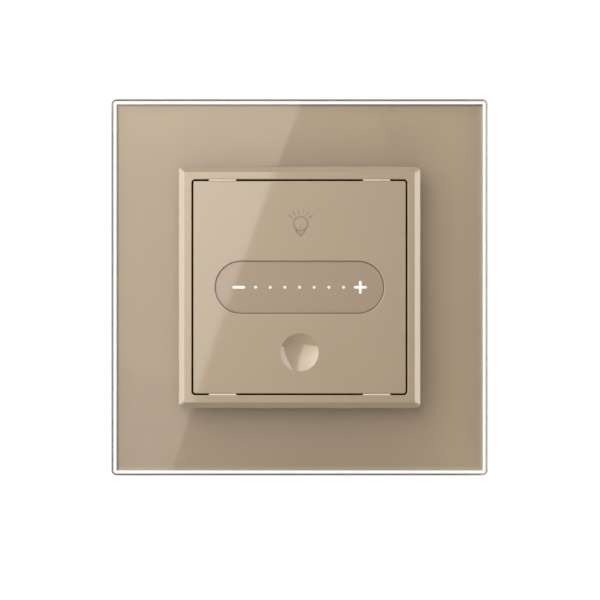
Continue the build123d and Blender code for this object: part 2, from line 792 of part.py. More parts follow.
# A bent sheet: an eye round the pin, an arm into the wall box with a toothed tip, and a flange
# that the screw pulls forward.
with BuildPart() as claw_right:
    arm_outside = claw_pin_x + claw_eye_radius
    flange_outside = claw_screw_x + claw_flange_rim
    with BuildSketch(Plane.XY.offset(-claw_width / 2)):
        with Locations((claw_pin_x, -claw_pin_level)):
            Circle(claw_eye_radius)
        with Locations((arm_outside - claw_sheet / 2, -(claw_pin_level + claw_tip_level) / 2)):
            Rectangle(claw_sheet, claw_arm_length)
        with Locations(((claw_pin_x + flange_outside) / 2, -claw_flange_level)):
            Rectangle(flange_outside - claw_pin_x, claw_sheet)
        with Locations((arm_outside - claw_sheet, -claw_tip_level)):
            tip_length = claw_sheet + claw_tip_reach
            Rectangle(tip_length, claw_sheet, align=(Align.MIN, Align.MAX))
        with Locations((claw_pin_x, -claw_pin_level)):
            Circle(claw_pin_radius + pin_gap, mode=Mode.SUBTRACT)
    extrude(amount=claw_width)
    with BuildSketch(front(claw_flange_level - claw_sheet)):
        with Locations((claw_screw_x, 0)):
            slot_height = 2 * (claw_screw_radius + seat_gap)
            SlotOverall(slot_height + claw_slot_play, slot_height)
    extrude(amount=2 * claw_sheet, mode=Mode.SUBTRACT)
    tooth_pitch = claw_width / claw_tooth_count
    with BuildSketch(front(claw_tip_level)):
        with Locations((arm_outside + claw_tip_reach, 0)):
            with GridLocations(0, tooth_pitch, 1, claw_tooth_count - 1):
                Polygon((0, tooth_pitch / 2), (-tooth_pitch / 2, 0), (0, -tooth_pitch / 2), align=None)
    extrude(amount=claw_sheet, mode=Mode.SUBTRACT)
save(claw_right, "claw_right")

with BuildPart() as claw_left:
    mirror(claw_right.part, about=Plane.YZ)
save(claw_left, "claw_left")

with BuildPart() as claw_screw_right:
    with BuildSketch(front(plate_front)):
        with Locations((claw_screw_x, 0)):
            Circle(claw_screw_radius)
    extrude(amount=-(claw_screw_length + plate_thickness))
    with BuildSketch(front(plate_front)):
        with Locations((claw_screw_x, 0)):
            Circle(claw_head_radius)
    extrude(amount=claw_head_height)
    with BuildSketch(front(plate_front + claw_head_height)):
        with Locations((claw_screw_x, 0)):
            Rectangle(2 * claw_head_radius, screw_slot_width)
    extrude(amount=-screw_slot_depth, mode=Mode.SUBTRACT)
save(claw_screw_right, "claw_screw_right")

with BuildPart() as claw_screw_left:
    mirror(claw_screw_right.part, about=Plane.YZ)
save(claw_screw_left, "claw_screw_left")

# ==== Power parts on the back of the power board ====

sink_bottom = -box_inside / 2 + loose_gap
sink_top = sink_bottom + fin_height + sink_base
sink_front = board_back - transistor_leg_length
sink_length = sink_front - box_floor_front - loose_gap
with BuildPart() as heat_sink:
    with BuildSketch(front(sink_front)):
        with Locations((0, sink_top - sink_base / 2)):
            Rectangle(sink_width, sink_base)
        with Locations((0, sink_bottom + fin_height / 2)):
            fin_pitch = (sink_width - fin_thickness) / (fin_count - 1)
            with GridLocations(fin_pitch, 0, fin_count, 1):
                Rectangle(fin_thickness, fin_height)
    extrude(amount=-sink_length)
save(heat_sink, "heat_sink")

with BuildPart() as power_transistors:
    for side in (-1, 1):
        with BuildSketch(front(sink_front)):
            with Locations((side * transistor_spot, sink_top + transistor_height / 2)):
                Rectangle(transistor_width, transistor_height)
        extrude(amount=-transistor_body_length)
        with BuildSketch(front(sink_front - transistor_body_length)):
            with Locations((side * transistor_spot, sink_top + transistor_tab_thickness / 2)):
                Rectangle(transistor_width, transistor_tab_thickness)
        extrude(amount=transistor_body_length - sink_length)
        with BuildSketch(front(board_back)):
            with Locations((side * transistor_spot, sink_top + transistor_height / 2)):
                with GridLocations(transistor_leg_pitch, 0, transistor_leg_count, 1):
                    Rectangle(transistor_leg_width, transistor_leg_thickness)
        extrude(amount=-transistor_leg_length)
save(power_transistors, "power_transistors")

with BuildPart() as choke_core:
    with BuildSketch(front(board_back - 2 * choke_wire)):
        with Locations(choke_spot):
            Circle(choke_radius)
            Circle(choke_bore_radius, mode=Mode.SUBTRACT)
    extrude(amount=-choke_thickness)
save(choke_core, "choke_core")

# Each turn is a square loop of wire round the core.
with BuildPart() as choke_winding:
    loop_width = choke_radius - choke_bore_radius
    loop_middle = (choke_radius + choke_bore_radius) / 2
    core_middle = board_back - 2 * choke_wire - choke_thickness / 2
    with Locations((choke_spot[0], -core_middle, choke_spot[1])):
        with Locations(Rotation(90, 0, 0)):
            with PolarLocations(loop_middle, choke_turns):
                loop_outside = loop_width + 2 * choke_wire + 2 * pin_gap
                loop_inside = loop_width + 2 * pin_gap
                depth_inside = choke_thickness + 2 * pin_gap
                Box(loop_outside, choke_wire, depth_inside + 2 * choke_wire)
                Box(loop_inside, choke_wire, depth_inside, mode=Mode.SUBTRACT)
save(choke_winding, "choke_winding")

with BuildPart() as supply_capacitor:
    with BuildSketch(front(board_back)):
        with Locations(supply_spot):
            Circle(supply_radius)
    extrude(amount=-supply_length)
    chamfer(supply_capacitor.faces().sort_by(Axis.Y)[-1].edges(), part_edge_radius)
    with BuildSketch(front(board_back - supply_groove_height)):
        with Locations(supply_spot):
            Circle(supply_radius)
            Circle(supply_radius - supply_groove, mode=Mode.SUBTRACT)
    extrude(amount=-2 * supply_groove, mode=Mode.SUBTRACT)
save(supply_capacitor, "supply_capacitor")

with BuildPart() as varistor:
    disc_middle = board_back - varistor_leg_length - varistor_radius
    disc_plane = Plane(
        origin=(varistor_spot[0] - varistor_thickness / 2, -disc_middle, varistor_spot[1]),
        x_dir=(0, 0, 1),
        z_dir=(1, 0, 0),
    )
    with BuildSketch(disc_plane):
        Circle(varistor_radius)
    extrude(amount=varistor_thickness)
    chamfer(varistor.edges().filter_by(GeomType.CIRCLE), varistor_edge)
    with BuildSketch(front(board_back)):
        with Locations(varistor_spot):
            with GridLocations(0, varistor_radius, 1, 2):
                Rectangle(varistor_leg, varistor_leg)
    extrude(amount=-(varistor_leg_length + varistor_radius / 2))
save(varistor, "varistor")


def boxed_part(name, size, spot):
    """A component in a rectangular case that stands on the back of the power board."""
    with BuildPart() as component:
        with BuildSketch(front(board_back)):
            with Locations(spot):
                Rectangle(size[0], size[1])
        extrude(amount=-size[2])
        case_edges = component.edges().filter_by(Axis.Y)
        fillet(case_edges, part_edge_radius)
    save(component, name)


boxed_part("filter_capacitor", filter_size, filter_spot)
boxed_part("fuse", fuse_size, fuse_spot)

# ---- What the joints need ----
cage_per_radian = terminal_thread_pitch / (2 * pi)
claw_turns = claw_screw_lever * radians(claw_swing) / claw_thread_pitch
print(f"terminal screws turn {terminal_turns * 360:.0f} degrees, cages rise {cage_travel:.2f} mm")
print(f"cage ratio {cage_per_radian / 1000:.8f} m per radian")
print(f"claw screws turn {claw_turns * 360:.0f} degrees for {claw_swing:.0f} degrees of swing")
print(f"claw pin x {claw_pin_x:.3f} y {-claw_pin_level:.3f}, claw screw x {claw_screw_x:.3f}")
print(f"terminal screw axis y {-cage_middle:.3f}, x {terminal_centres}")
print(f"wire entry z {wire_middle:.3f}, back y {-box_back:.3f}, glass front level {glass_front:.3f}")
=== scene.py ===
import json
from math import cos, pi, radians, sin

import bmesh
import bpy
from mathutils import Matrix, Vector


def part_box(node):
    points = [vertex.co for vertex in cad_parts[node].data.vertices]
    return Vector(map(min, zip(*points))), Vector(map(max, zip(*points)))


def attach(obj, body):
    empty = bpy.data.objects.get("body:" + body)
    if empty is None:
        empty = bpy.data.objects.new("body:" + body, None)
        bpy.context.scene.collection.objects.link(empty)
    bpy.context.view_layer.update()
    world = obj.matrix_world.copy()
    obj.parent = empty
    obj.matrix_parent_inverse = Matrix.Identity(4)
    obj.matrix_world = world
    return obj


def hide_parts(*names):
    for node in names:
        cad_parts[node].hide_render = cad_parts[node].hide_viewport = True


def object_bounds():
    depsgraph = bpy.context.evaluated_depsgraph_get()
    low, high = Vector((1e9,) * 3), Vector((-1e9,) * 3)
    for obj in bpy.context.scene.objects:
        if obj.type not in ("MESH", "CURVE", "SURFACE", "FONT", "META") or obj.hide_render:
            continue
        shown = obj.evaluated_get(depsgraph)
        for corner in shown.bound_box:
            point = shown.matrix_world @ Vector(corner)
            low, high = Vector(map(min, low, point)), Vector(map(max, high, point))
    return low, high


# A wall dimmer: a glass frame with champagne paint on its back, a lacquered bezel and touch cover with a
# lit slider strip and a touch dish, and behind them the insert with its terminals and claws.
# X runs right, Z up, and the front faces -Y. Sizes are in metres, as Blender has them.

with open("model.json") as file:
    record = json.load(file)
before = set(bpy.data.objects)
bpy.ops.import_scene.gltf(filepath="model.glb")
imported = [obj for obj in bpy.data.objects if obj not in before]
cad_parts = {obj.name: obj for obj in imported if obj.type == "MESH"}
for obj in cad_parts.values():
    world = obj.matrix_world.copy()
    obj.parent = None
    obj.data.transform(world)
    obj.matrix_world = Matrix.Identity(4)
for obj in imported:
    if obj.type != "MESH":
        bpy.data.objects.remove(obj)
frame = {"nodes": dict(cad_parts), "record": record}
cad_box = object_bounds()
nodes = frame["nodes"]

MM = 0.001


# ---- Where things are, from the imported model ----

glass_low, glass_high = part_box("glass_panel")
cover_low, cover_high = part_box("touch_cover")
film_low, film_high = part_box("colour_film")
glass_face, glass_half = glass_low.y, glass_high.x
cover_face, cover_half = cover_low.y, cover_high.x
film_face, film_half = film_low.y, film_high.x
bezel_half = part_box("bezel_ring")[1].x
window_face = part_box("slider_window")[0].y


# ---- Sizes of the edges and of the new pieces ----

# The ground arris of the glass, tinted dark as painted shade, and the painted light and painted shadow along
# the edge of the paint.
arris_width = 0.38 * MM
edge_light_width = 1.2 * MM
edge_shadow_width, edge_shadow_margin = 0.75 * MM, 0.1 * MM

# How deep behind the window the light guide starts to glow, and where it glows fully.
glow_start, glow_full = 0.6 * MM, 0.1 * MM

# The paint layer: how far it goes past the film's edge and in under the bezel's, and its front and back
# about the film's face.
paint_lap, bezel_lap = 0.05 * MM, 1.1 * MM
paint_bite, paint_back = 0.02 * MM, 0.04 * MM

# The bulb sign: the bulb's place and size, the ridge it is drawn with, the neck, its tip, the filament
# and the rays. The neck's levels are from the bulb's lowest point.
bulb_side, bulb_height, bulb_radius = 0.2 * MM, 14.52 * MM, 1.6 * MM
bulb_line, bulb_flank = 0.50 * MM, 0.15 * MM
bulb_rise, bulb_root = 0.092 * MM, 0.03 * MM
bulb_steps, bar_sides = 56, 12
neck_side, neck_top, neck_foot = 1.0 * MM, 0.35 * MM, -0.12 * MM
tip_drop = 2.75 * MM
filament_drop, filament_width = 0.95 * MM, 0.55 * MM
ray_start, ray_end, ray_line = 2.4 * MM, 3.2 * MM, 0.40 * MM
ray_count, ray_pitch = 6, radians(22.0)

# The gap round the cover, the near-black sheet low in it that paints the gap's shade, and the noses of the
# latches.
cover_gap = 0.36 * MM
sheet_bite, sheet_play = 0.05 * MM, 0.03 * MM
sheet_depth, sheet_height = 1.0 * MM, 0.4 * MM
nose_offset, nose_width, nose_depth = 17.55 * MM, 6.2 * MM, 0.3 * MM
nose_slit, nose_rise = 0.06 * MM, 0.095 * MM


# ---- Building materials ----

def new_tree(name):
    """An empty material and its node tree."""
    material = bpy.data.materials.new(name)
    material.use_nodes = True
    material.node_tree.nodes.clear()
    return material, material.node_tree


def feed(tree, socket, value):
    """Sets an input to a value, or links it from an output socket."""
    if isinstance(value, bpy.types.NodeSocket):
        tree.links.new(value, socket)
    else:
        socket.default_value = value


def put(tree, kind, **inputs):
    """Adds a node. Its inputs go by their names, with _ for a space."""
    node = tree.nodes.new(kind)
    for key, value in inputs.items():
        feed(tree, node.inputs[key.replace("_", " ")], value)
    return node


def maths(tree, operation, *values, clamp=False):
    """A Math node's output."""
    node = tree.nodes.new("ShaderNodeMath")
    node.operation = operation
    node.use_clamp = clamp
    for socket, value in zip(node.inputs, values):
        feed(tree, socket, value)
    return node.outputs[0]


def blend_colours(tree, share, first, second):
    """A colour that goes from first to second as share goes from 0 to 1."""
    node = tree.nodes.new("ShaderNodeMix")
    node.data_type = "RGBA"
    for socket, value in zip((node.inputs[0], node.inputs[6], node.inputs[7]), (share, first, second)):
        feed(tree, socket, value)
    return node.outputs[2]


def ramp(tree, value, start, end):
    """0 up to start, 1 from end, and smooth between them."""
    node = tree.nodes.new("ShaderNodeMapRange")
    node.interpolation_type = "SMOOTHSTEP"
    tree.links.new(value, node.inputs["Value"])
    node.inputs["From Min"].default_value = start
    node.inputs["From Max"].default_value = end
    return node.outputs["Result"]


def place(tree, turn=(0.0, 0.0, 0.0), stretch=(1.0, 1.0, 1.0)):
    """Object coordinates, turned and stretched."""
    coordinates = tree.nodes.new("ShaderNodeTexCoord")
    mapping = tree.nodes.new("ShaderNodeMapping")
    mapping.inputs["Rotation"].default_value = turn
    mapping.inputs["Scale"].default_value = stretch
    tree.links.new(coordinates.outputs["Object"], mapping.inputs["Vector"])
    return mapping.outputs["Vector"]


def colour(red, green, blue):
    """An opaque colour, in linear light."""
    return (red, green, blue, 1.0)


white = colour(1.0, 1.0, 1.0)


def group(name, inputs, outputs):
    """An empty shader node group with named sockets: (name, kind, value) in, (name, kind) out."""
    tree = bpy.data.node_groups.new(name, "ShaderNodeTree")
    for label, kind, value in inputs:
        socket = tree.interface.new_socket(label, in_out="INPUT", socket_type=kind)
        socket.default_value = value
    for label, kind in outputs:
        tree.interface.new_socket(label, in_out="OUTPUT", socket_type=kind)
    return tree, tree.nodes.new("NodeGroupInput"), tree.nodes.new("NodeGroupOutput")


def use(tree, shared, **inputs):
    """Places a shared group in a material's tree."""
    node = tree.nodes.new("ShaderNodeGroup")
    node.node_tree = shared
    for key, value in inputs.items():
        feed(tree, node.inputs[key.replace("_", " ")], value)
    return node


# ---- Shared effects ----

FLOAT, COLOUR, VECTOR = "NodeSocketFloat", "NodeSocketColor", "NodeSocketVector"


def close_skin(tree, take, out, value, rough_swing, height):
    """The ends of a skin: its colour at a value, its roughness with a swing, its relief by a height."""
    tone = put(tree, "ShaderNodeHueSaturation", Color=take["Colour"], Value=value)
    rough = maths(tree, "MULTIPLY_ADD", rough_swing, take["Roughness Drift"], take["Roughness"])
    bump = put(tree, "ShaderNodeBump", Strength=take["Relief"], Distance=0.1 * MM, Height=height)
    tree.links.new(tone.outputs["Color"], out.inputs["Colour"])
    tree.links.new(rough, out.inputs["Roughness"])
    tree.links.new(bump.outputs["Normal"], out.inputs["Normal"])


def make_grain():
    """Fine all-over grain, as on moulded plastic or sprayed paint, with slow drifts of tone."""
    tree, given, out = group(
        "fine grain",
        [("Vector", VECTOR, (0.0, 0.0, 0.0)), ("Colour", COLOUR, colour(0.5, 0.5, 0.5)),
         ("Tone Drift", FLOAT, 0.05), ("Speckle", FLOAT, 0.04), ("Size", FLOAT, 6000.0),
         ("Roughness", FLOAT, 0.5), ("Roughness Drift", FLOAT, 0.06), ("Relief", FLOAT, 0.1)],
        [("Colour", COLOUR), ("Roughness", FLOAT), ("Normal", VECTOR)],
    )
    take = given.outputs
    fine = put(tree, "ShaderNodeTexNoise", Vector=take["Vector"], Scale=take["Size"], Detail=2.0)
    slow = put(tree, "ShaderNodeTexNoise", Vector=take["Vector"], Scale=60.0, Detail=3.0)
    fine_swing = maths(tree, "SUBTRACT", fine.outputs["Fac"], 0.5)
    slow_swing = maths(tree, "SUBTRACT", slow.outputs["Fac"], 0.5)
    spots = maths(tree, "MULTIPLY", fine_swing, take["Speckle"])
    drift = maths(tree, "MULTIPLY", slow_swing, take["Tone Drift"])
    value = maths(tree, "ADD", maths(tree, "ADD", spots, drift), 1.0)
    close_skin(tree, take, out, value, slow_swing, fine.outputs["Fac"])
    return tree


def make_drawn():
    """Fine parallel lines, as left on metal by rolling, drawing or turning."""
    tree, given, out = group(
        "drawn lines",
        [("Vector", VECTOR, (0.0, 0.0, 0.0)), ("Colour", COLOUR, colour(0.6, 0.6, 0.6)),
         ("Contrast", FLOAT, 0.2), ("Size", FLOAT, 900.0), ("Roughness", FLOAT, 0.3),
         ("Roughness Drift", FLOAT, 0.15), ("Relief", FLOAT, 0.1)],
        [("Colour", COLOUR), ("Roughness", FLOAT), ("Normal", VECTOR)],
    )
    take = given.outputs
    lines = put(tree, "ShaderNodeTexNoise", Vector=take["Vector"], Scale=take["Size"], Detail=4.0,
                Roughness=0.7)
    stains = put(tree, "ShaderNodeTexNoise", Vector=take["Vector"], Scale=45.0, Detail=2.0)
    line_swing = maths(tree, "SUBTRACT", lines.outputs["Fac"], 0.5)
    stain_swing = maths(tree, "SUBTRACT", stains.outputs["Fac"], 0.5)
    both = maths(tree, "ADD", line_swing, stain_swing)
    value = maths(tree, "MULTIPLY_ADD", both, take["Contrast"], 1.0)
    close_skin(tree, take, out, value, line_swing, lines.outputs["Fac"])
    return tree


def make_border():
    """A border inside a square about the Y axis: 1 on the square's edge and beyond, 0 a width further in."""
    tree, given, out = group(
        "square border",
        [("Vector", VECTOR, (0.0, 0.0, 0.0)), ("Half Side", FLOAT, 0.04), ("Width", FLOAT, 0.001)],
        [("Mask", FLOAT)],
    )
    parts = put(tree, "ShaderNodeSeparateXYZ", Vector=given.outputs["Vector"])
    across = maths(tree, "ABSOLUTE", parts.outputs["X"])
    up = maths(tree, "ABSOLUTE", parts.outputs["Z"])
    reach = maths(tree, "MAXIMUM", across, up)
    inner = maths(tree, "SUBTRACT", given.outputs["Half Side"], given.outputs["Width"])
    past = maths(tree, "SUBTRACT", reach, inner)
    tree.links.new(maths(tree, "DIVIDE", past, given.outputs["Width"], clamp=True), out.inputs["Mask"])
    return tree


grain = make_grain()
drawn = make_drawn()
border = make_border()


# ---- Finishes ----

def shader(tree, skin, **inputs):
    """The material's own Principled shader over a skin of grain or lines, joined to its output."""
    for key, label in (("Base_Color", "Colour"), ("Roughness", "Roughness"), ("Normal", "Normal")):
        inputs.setdefault(key, skin.outputs[label])
    surface = put(tree, "ShaderNodeBsdfPrincipled", **inputs)
    put(tree, "ShaderNodeOutputMaterial", Surface=surface.outputs["BSDF"])


def mixed_output(tree, share, first, second):
    """The material's output: the first shader, and the second in its place by the share."""
    mix = tree.nodes.new("ShaderNodeMixShader")
    for socket, value in zip(mix.inputs, (share, first, second)):
        tree.links.new(value, socket)
    put(tree, "ShaderNodeOutputMaterial", Surface=mix.outputs["Shader"])


def plastic(name, base, roughness, size=5000.0, relief=0.15, tone=0.06, speckle=0.05, coat=0.0,
            specular=0.5):
    """Moulded or painted plastic with a fine grain."""
    material, tree = new_tree(name)
    skin = use(tree, grain, Vector=place(tree), Colour=base, Tone_Drift=tone, Speckle=speckle, Size=size,
               Roughness=roughness, Relief=relief)
    shader(tree, skin, Coat_Weight=coat, Coat_Roughness=0.1, Specular_IOR_Level=specular)
    return material


def metal(name, base, roughness, stretch, contrast=0.2):
    """Drawn, rolled or turned metal. The lines run along the axis with the smallest stretch."""
    material, tree = new_tree(name)
    skin = use(tree, drawn, Vector=place(tree, stretch=stretch), Colour=base, Contrast=contrast,
               Roughness=roughness)
    shader(tree, skin, Metallic=1.0)
    return material


cover_champagne = colour(0.345, 0.251, 0.145)
window_champagne = colour(0.294, 0.203, 0.115)
# The sign's lacquer is a darker copy of the cover's: painted shade for the shade on the small raised strokes.
shaded_sign_champagne = colour(0.270, 0.195, 0.112)
glass_champagne = colour(0.490, 0.367, 0.240)
# Painted shadow and painted light for the edge of the paint on the glass, where the glass's edge shades and
# lights it.
painted_edge_shadow = colour(0.18, 0.13, 0.085)
painted_edge_light = colour(0.60, 0.49, 0.36)


def make_clear_glass():
    """Clear float glass, faintly green, with a ground arris round its edge, tinted dark as painted shade. It
    lets the light through.
    """
    material, tree = new_tree("clear glass")
    spot = place(tree)
    arris = use(tree, border, Vector=spot, Half_Side=glass_half, Width=arris_width)
    grind_and_shade = ramp(tree, arris.outputs["Mask"], 0.02, 0.12)
    drift = put(tree, "ShaderNodeTexNoise", Vector=spot, Scale=25.0, Detail=2.0)
    polished = blend_colours(tree, drift.outputs["Fac"], colour(0.972, 0.986, 0.975),
                             colour(0.980, 0.988, 0.984))
    # The arris is tinted near black: painted shade for the dark line that the glass's edge shows. Its
    # roughness is the real ground finish.
    tint = blend_colours(tree, grind_and_shade, polished, colour(0.11, 0.10, 0.085))
    surface = put(tree, "ShaderNodeBsdfPrincipled", Base_Color=tint, IOR=1.5, Transmission_Weight=1.0,
                  Roughness=maths(tree, "MULTIPLY", grind_and_shade, 0.5))
    clear = put(tree, "ShaderNodeBsdfTransparent", Color=colour(0.975, 0.985, 0.98))
    path = tree.nodes.new("ShaderNodeLightPath")
    mixed_output(tree, path.outputs["Is Shadow Ray"], surface.outputs["BSDF"], clear.outputs["BSDF"])
    return material


def make_back_paint():
    """Champagne paint on the back of the glass. Its edge has a painted shadow at the left and top and painted
    light opposite, for the shade and light that the glass's edge throws on it.
    """
    material, tree = new_tree("back paint")
    spot = place(tree)
    parts = put(tree, "ShaderNodeSeparateXYZ", Vector=spot)
    right, up = parts.outputs["X"], parts.outputs["Z"]
    left_or_top = maths(tree, "MAXIMUM", maths(tree, "MULTIPLY", right, -1.0), up)
    right_or_foot = maths(tree, "MAXIMUM", right, maths(tree, "MULTIPLY", up, -1.0))
    # Painted light along the right and foot of the edge, painted shadow along the left and top.
    pale = ramp(tree, right_or_foot, film_half - edge_light_width, film_half)
    dark = ramp(tree, left_or_top, film_half - edge_shadow_width, film_half - edge_shadow_margin)
    base = blend_colours(tree, dark, blend_colours(tree, pale, glass_champagne, painted_edge_light), painted_edge_shadow)
    skin = use(tree, grain, Vector=spot, Colour=base, Tone_Drift=0.04, Speckle=0.03, Size=9000.0,
               Roughness=0.5, Relief=0.02)
    shader(tree, skin, Specular_IOR_Level=0.1)
    return material


def make_lacquer(name, base):
    """Champagne lacquer with a very fine flake, under a clear glossy coat."""
    material, tree = new_tree(name)
    skin = use(tree, grain, Vector=place(tree), Colour=base, Tone_Drift=0.03, Speckle=0.06, Size=9000.0,
               Roughness=0.42, Roughness_Drift=0.05, Relief=0.05)
    shader(tree, skin, Coat_Weight=1.0, Coat_Roughness=0.03, Coat_IOR=1.66, Specular_IOR_Level=0.3)
    return material


def make_light_plastic():
    """The milky light guide. Its marks glow a little in the window."""
    material, tree = new_tree("lit light guide")
    spot = place(tree)
    skin = use(tree, grain, Vector=spot, Colour=colour(0.86, 0.86, 0.83), Tone_Drift=0.03, Speckle=0.02,
               Size=2500.0, Roughness=0.35, Relief=0.03)
    parts = put(tree, "ShaderNodeSeparateXYZ", Vector=spot)
    lit = ramp(tree, parts.outputs["Y"], window_face + glow_start, window_face + glow_full)
    glow = blend_colours(tree, lit, colour(0.25, 0.24, 0.22), colour(1.0, 0.985, 0.93))
    shader(tree, skin, Emission_Color=glow, Emission_Strength=0.15)
    return material


def make_board():
    """Green solder resist, lighter over the copper tracks."""
    material, tree = new_tree("solder resist")
    tracks = put(tree, "ShaderNodeTexBrick", Vector=place(tree, turn=(pi / 2, 0.0, 0.0)), Scale=260.0,
                 Mortar_Size=0.06, Color1=colour(0.0, 0.0, 0.0), Color2=colour(0.25, 0.25, 0.25),
                 Mortar=white)
    resist = blend_colours(tree, tracks.outputs["Color"], colour(0.02, 0.14, 0.05), colour(0.10, 0.32, 0.14))
    skin = use(tree, grain, Vector=place(tree), Colour=resist, Tone_Drift=0.1, Speckle=0.08, Size=2500.0,
               Roughness=0.32, Relief=0.08)
    shader(tree, skin, Coat_Weight=0.5, Coat_Roughness=0.15)
    return material


def make_galvanised():
    """Zinc-coated sheet with its crystal spangle."""
    material, tree = new_tree("galvanised sheet")
    spot = place(tree)
    crystals = put(tree, "ShaderNodeTexVoronoi", Vector=spot, Scale=420.0, Randomness=1.0)
    facet = put(tree, "ShaderNodeSeparateColor", Color=crystals.outputs["Color"])
    share = maths(tree, "MULTIPLY", facet.outputs["Red"], 0.5)
    base = blend_colours(tree, share, colour(0.60, 0.62, 0.63), colour(0.42, 0.44, 0.46))
    skin = use(tree, drawn, Vector=place(tree, stretch=(1.0, 1.0, 0.08)), Colour=base, Contrast=0.14,
               Size=1500.0, Roughness=0.34, Relief=0.05)
    rough = maths(tree, "MULTIPLY_ADD", facet.outputs["Green"], 0.16, skin.outputs["Roughness"])
    shader(tree, skin, Roughness=rough, Metallic=1.0)
    return material


def make_winding():
    """Enamelled copper wire."""
    material, tree = new_tree("enamelled copper")
    skin = use(tree, drawn, Vector=place(tree), Colour=colour(0.72, 0.30, 0.14), Contrast=0.15, Size=1200.0,
               Roughness=0.25, Relief=0.04)
    shader(tree, skin, Metallic=1.0, Coat_Weight=0.8, Coat_Roughness=0.12)
    return material


finish = {
    "clear_glass": make_clear_glass(),
    "back_paint": make_back_paint(),
    "foam_tape": plastic("foam tape", colour(0.03, 0.03, 0.032), 0.9, size=2200.0, relief=0.6, speckle=0.4),
    "carrier_plastic": plastic("carrier plastic", colour(0.76, 0.68, 0.57), 0.5, size=3000.0, relief=0.25),
    "satin_plastic": make_lacquer("satin champagne", cover_champagne),
    "gloss_window": make_lacquer("window champagne", window_champagne),
    "sign_painted_shade": make_lacquer("shaded sign champagne", shaded_sign_champagne),
    "light_plastic": make_light_plastic(),
    # Near black, for the sheet that paints the shade in the gap round the cover.
    "gap_shade_black": plastic("gap shade black", colour(0.004, 0.003, 0.002), 0.9, relief=0.2, specular=0.03),
    "black_plastic": plastic("black plastic", colour(0.022, 0.022, 0.024), 0.45, size=3500.0, relief=0.3),
    "amber_foil": plastic("amber foil", colour(0.42, 0.17, 0.03), 0.25, size=1800.0, relief=0.05, coat=0.6),
    "copper": make_winding(),
    "circuit_board": make_board(),
    "led_white": plastic("lamp body", colour(0.82, 0.78, 0.55), 0.35, relief=0.05),
    "chip_black": plastic("chip moulding", colour(0.02, 0.02, 0.022), 0.55, size=4500.0, relief=0.35),
    "plated_wire": metal("plated wire", colour(0.78, 0.78, 0.78), 0.18, (1.0, 1.0, 1.0), contrast=0.08),
    "gold_plate": metal("gold plate", colour(0.86, 0.62, 0.24), 0.2, (1.0, 0.1, 1.0), contrast=0.1),
    "galvanised_steel": make_galvanised(),
    "zinc_screw": metal("bright zinc", colour(0.66, 0.67, 0.66), 0.28, (1.0, 0.15, 1.0), contrast=0.18),
    "housing_plastic": plastic("housing plastic", colour(0.045, 0.045, 0.05), 0.48, size=2600.0, relief=0.35,
                               tone=0.12),
    "bare_aluminium": metal("extruded aluminium", colour(0.78, 0.79, 0.80), 0.36, (1.0, 0.05, 1.0)),
    "ferrite": plastic("ferrite", colour(0.03, 0.032, 0.035), 0.6, size=3000.0, relief=0.4, speckle=0.2),
    "capacitor_case": plastic("capacitor case", colour(0.62, 0.36, 0.02), 0.35, size=2600.0, relief=0.08),
    "capacitor_sleeve": plastic("shrink sleeve", colour(0.02, 0.025, 0.06), 0.3, size=2000.0, relief=0.06,
                                coat=0.5),
    "fuse_case": plastic("fuse case", colour(0.17, 0.03, 0.02), 0.4, relief=0.1),
    "varistor_coat": plastic("dipped lacquer", colour(0.02, 0.11, 0.32), 0.3, size=900.0, relief=0.4,
                             coat=0.6),
    "terminal_brass": metal("terminal brass", colour(0.80, 0.58, 0.26), 0.3, (1.0, 1.0, 0.1)),
    "terminal_steel": metal("plated steel", colour(0.62, 0.62, 0.60), 0.33, (1.0, 0.1, 1.0)),
}

slots = {entry["node"]: entry["material_slot"] for entry in frame["record"]["subparts"]}
for name, piece in nodes.items():
    piece.data.materials.clear()
    piece.data.materials.append(finish[slots[name]])


# ---- New pieces ----

def finished(shape, name, slot, body, look=None, replaced=()):
    """Turns a bmesh into a piece that rides on a body. Its finish is the slot's, or another look."""
    bmesh.ops.remove_doubles(shape, verts=shape.verts, dist=0.001 * MM)
    bmesh.ops.recalc_face_normals(shape, faces=shape.faces)
    mesh = bpy.data.meshes.new(name)
    shape.to_mesh(mesh)
    shape.free()
    mesh.materials.append(finish[look or slot])
    piece = bpy.data.objects.new(name, mesh)
    bpy.context.scene.collection.objects.link(piece)
    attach(piece, body)
    if replaced:
        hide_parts(*replaced)


def square_ring(shape, half_in, half_out, front, back):
    """A flat square frame about the Y axis, from half_in to half_out and from front to back."""
    made = bmesh.ops.create_grid(shape, x_segments=1, y_segments=1, size=half_out)["verts"]
    ring = bmesh.ops.inset_region(shape, faces=made[0].link_faces[:], thickness=half_out - half_in,
                                  use_boundary=True, use_even_offset=True)["faces"]
    middle = min(shape.faces, key=lambda face: face.calc_center_median().length)
    bmesh.ops.delete(shape, geom=[middle], context="FACES")
    raised = bmesh.ops.extrude_face_region(shape, geom=ring)["geom"]
    bmesh.ops.translate(shape, vec=(0.0, 0.0, back - front),
                        verts=[item for item in raised if isinstance(item, bmesh.types.BMVert)])
    bmesh.ops.rotate(shape, cent=(0.0, 0.0, 0.0), matrix=Matrix.Rotation(pi / 2, 3, "X"), verts=shape.verts)
    bmesh.ops.translate(shape, vec=(0.0, back, 0.0), verts=shape.verts)


def make_paint_layer():
    """The paint as a thin sheet that bites a hair into the glass, so that it looks bonded to it."""
    shape = bmesh.new()
    square_ring(shape, bezel_half - bezel_lap, film_half + paint_lap, film_face - paint_bite,
                film_face + paint_back)
    finished(shape, "back_paint_layer", "back_paint", "glass_frame", replaced=["colour_film"])


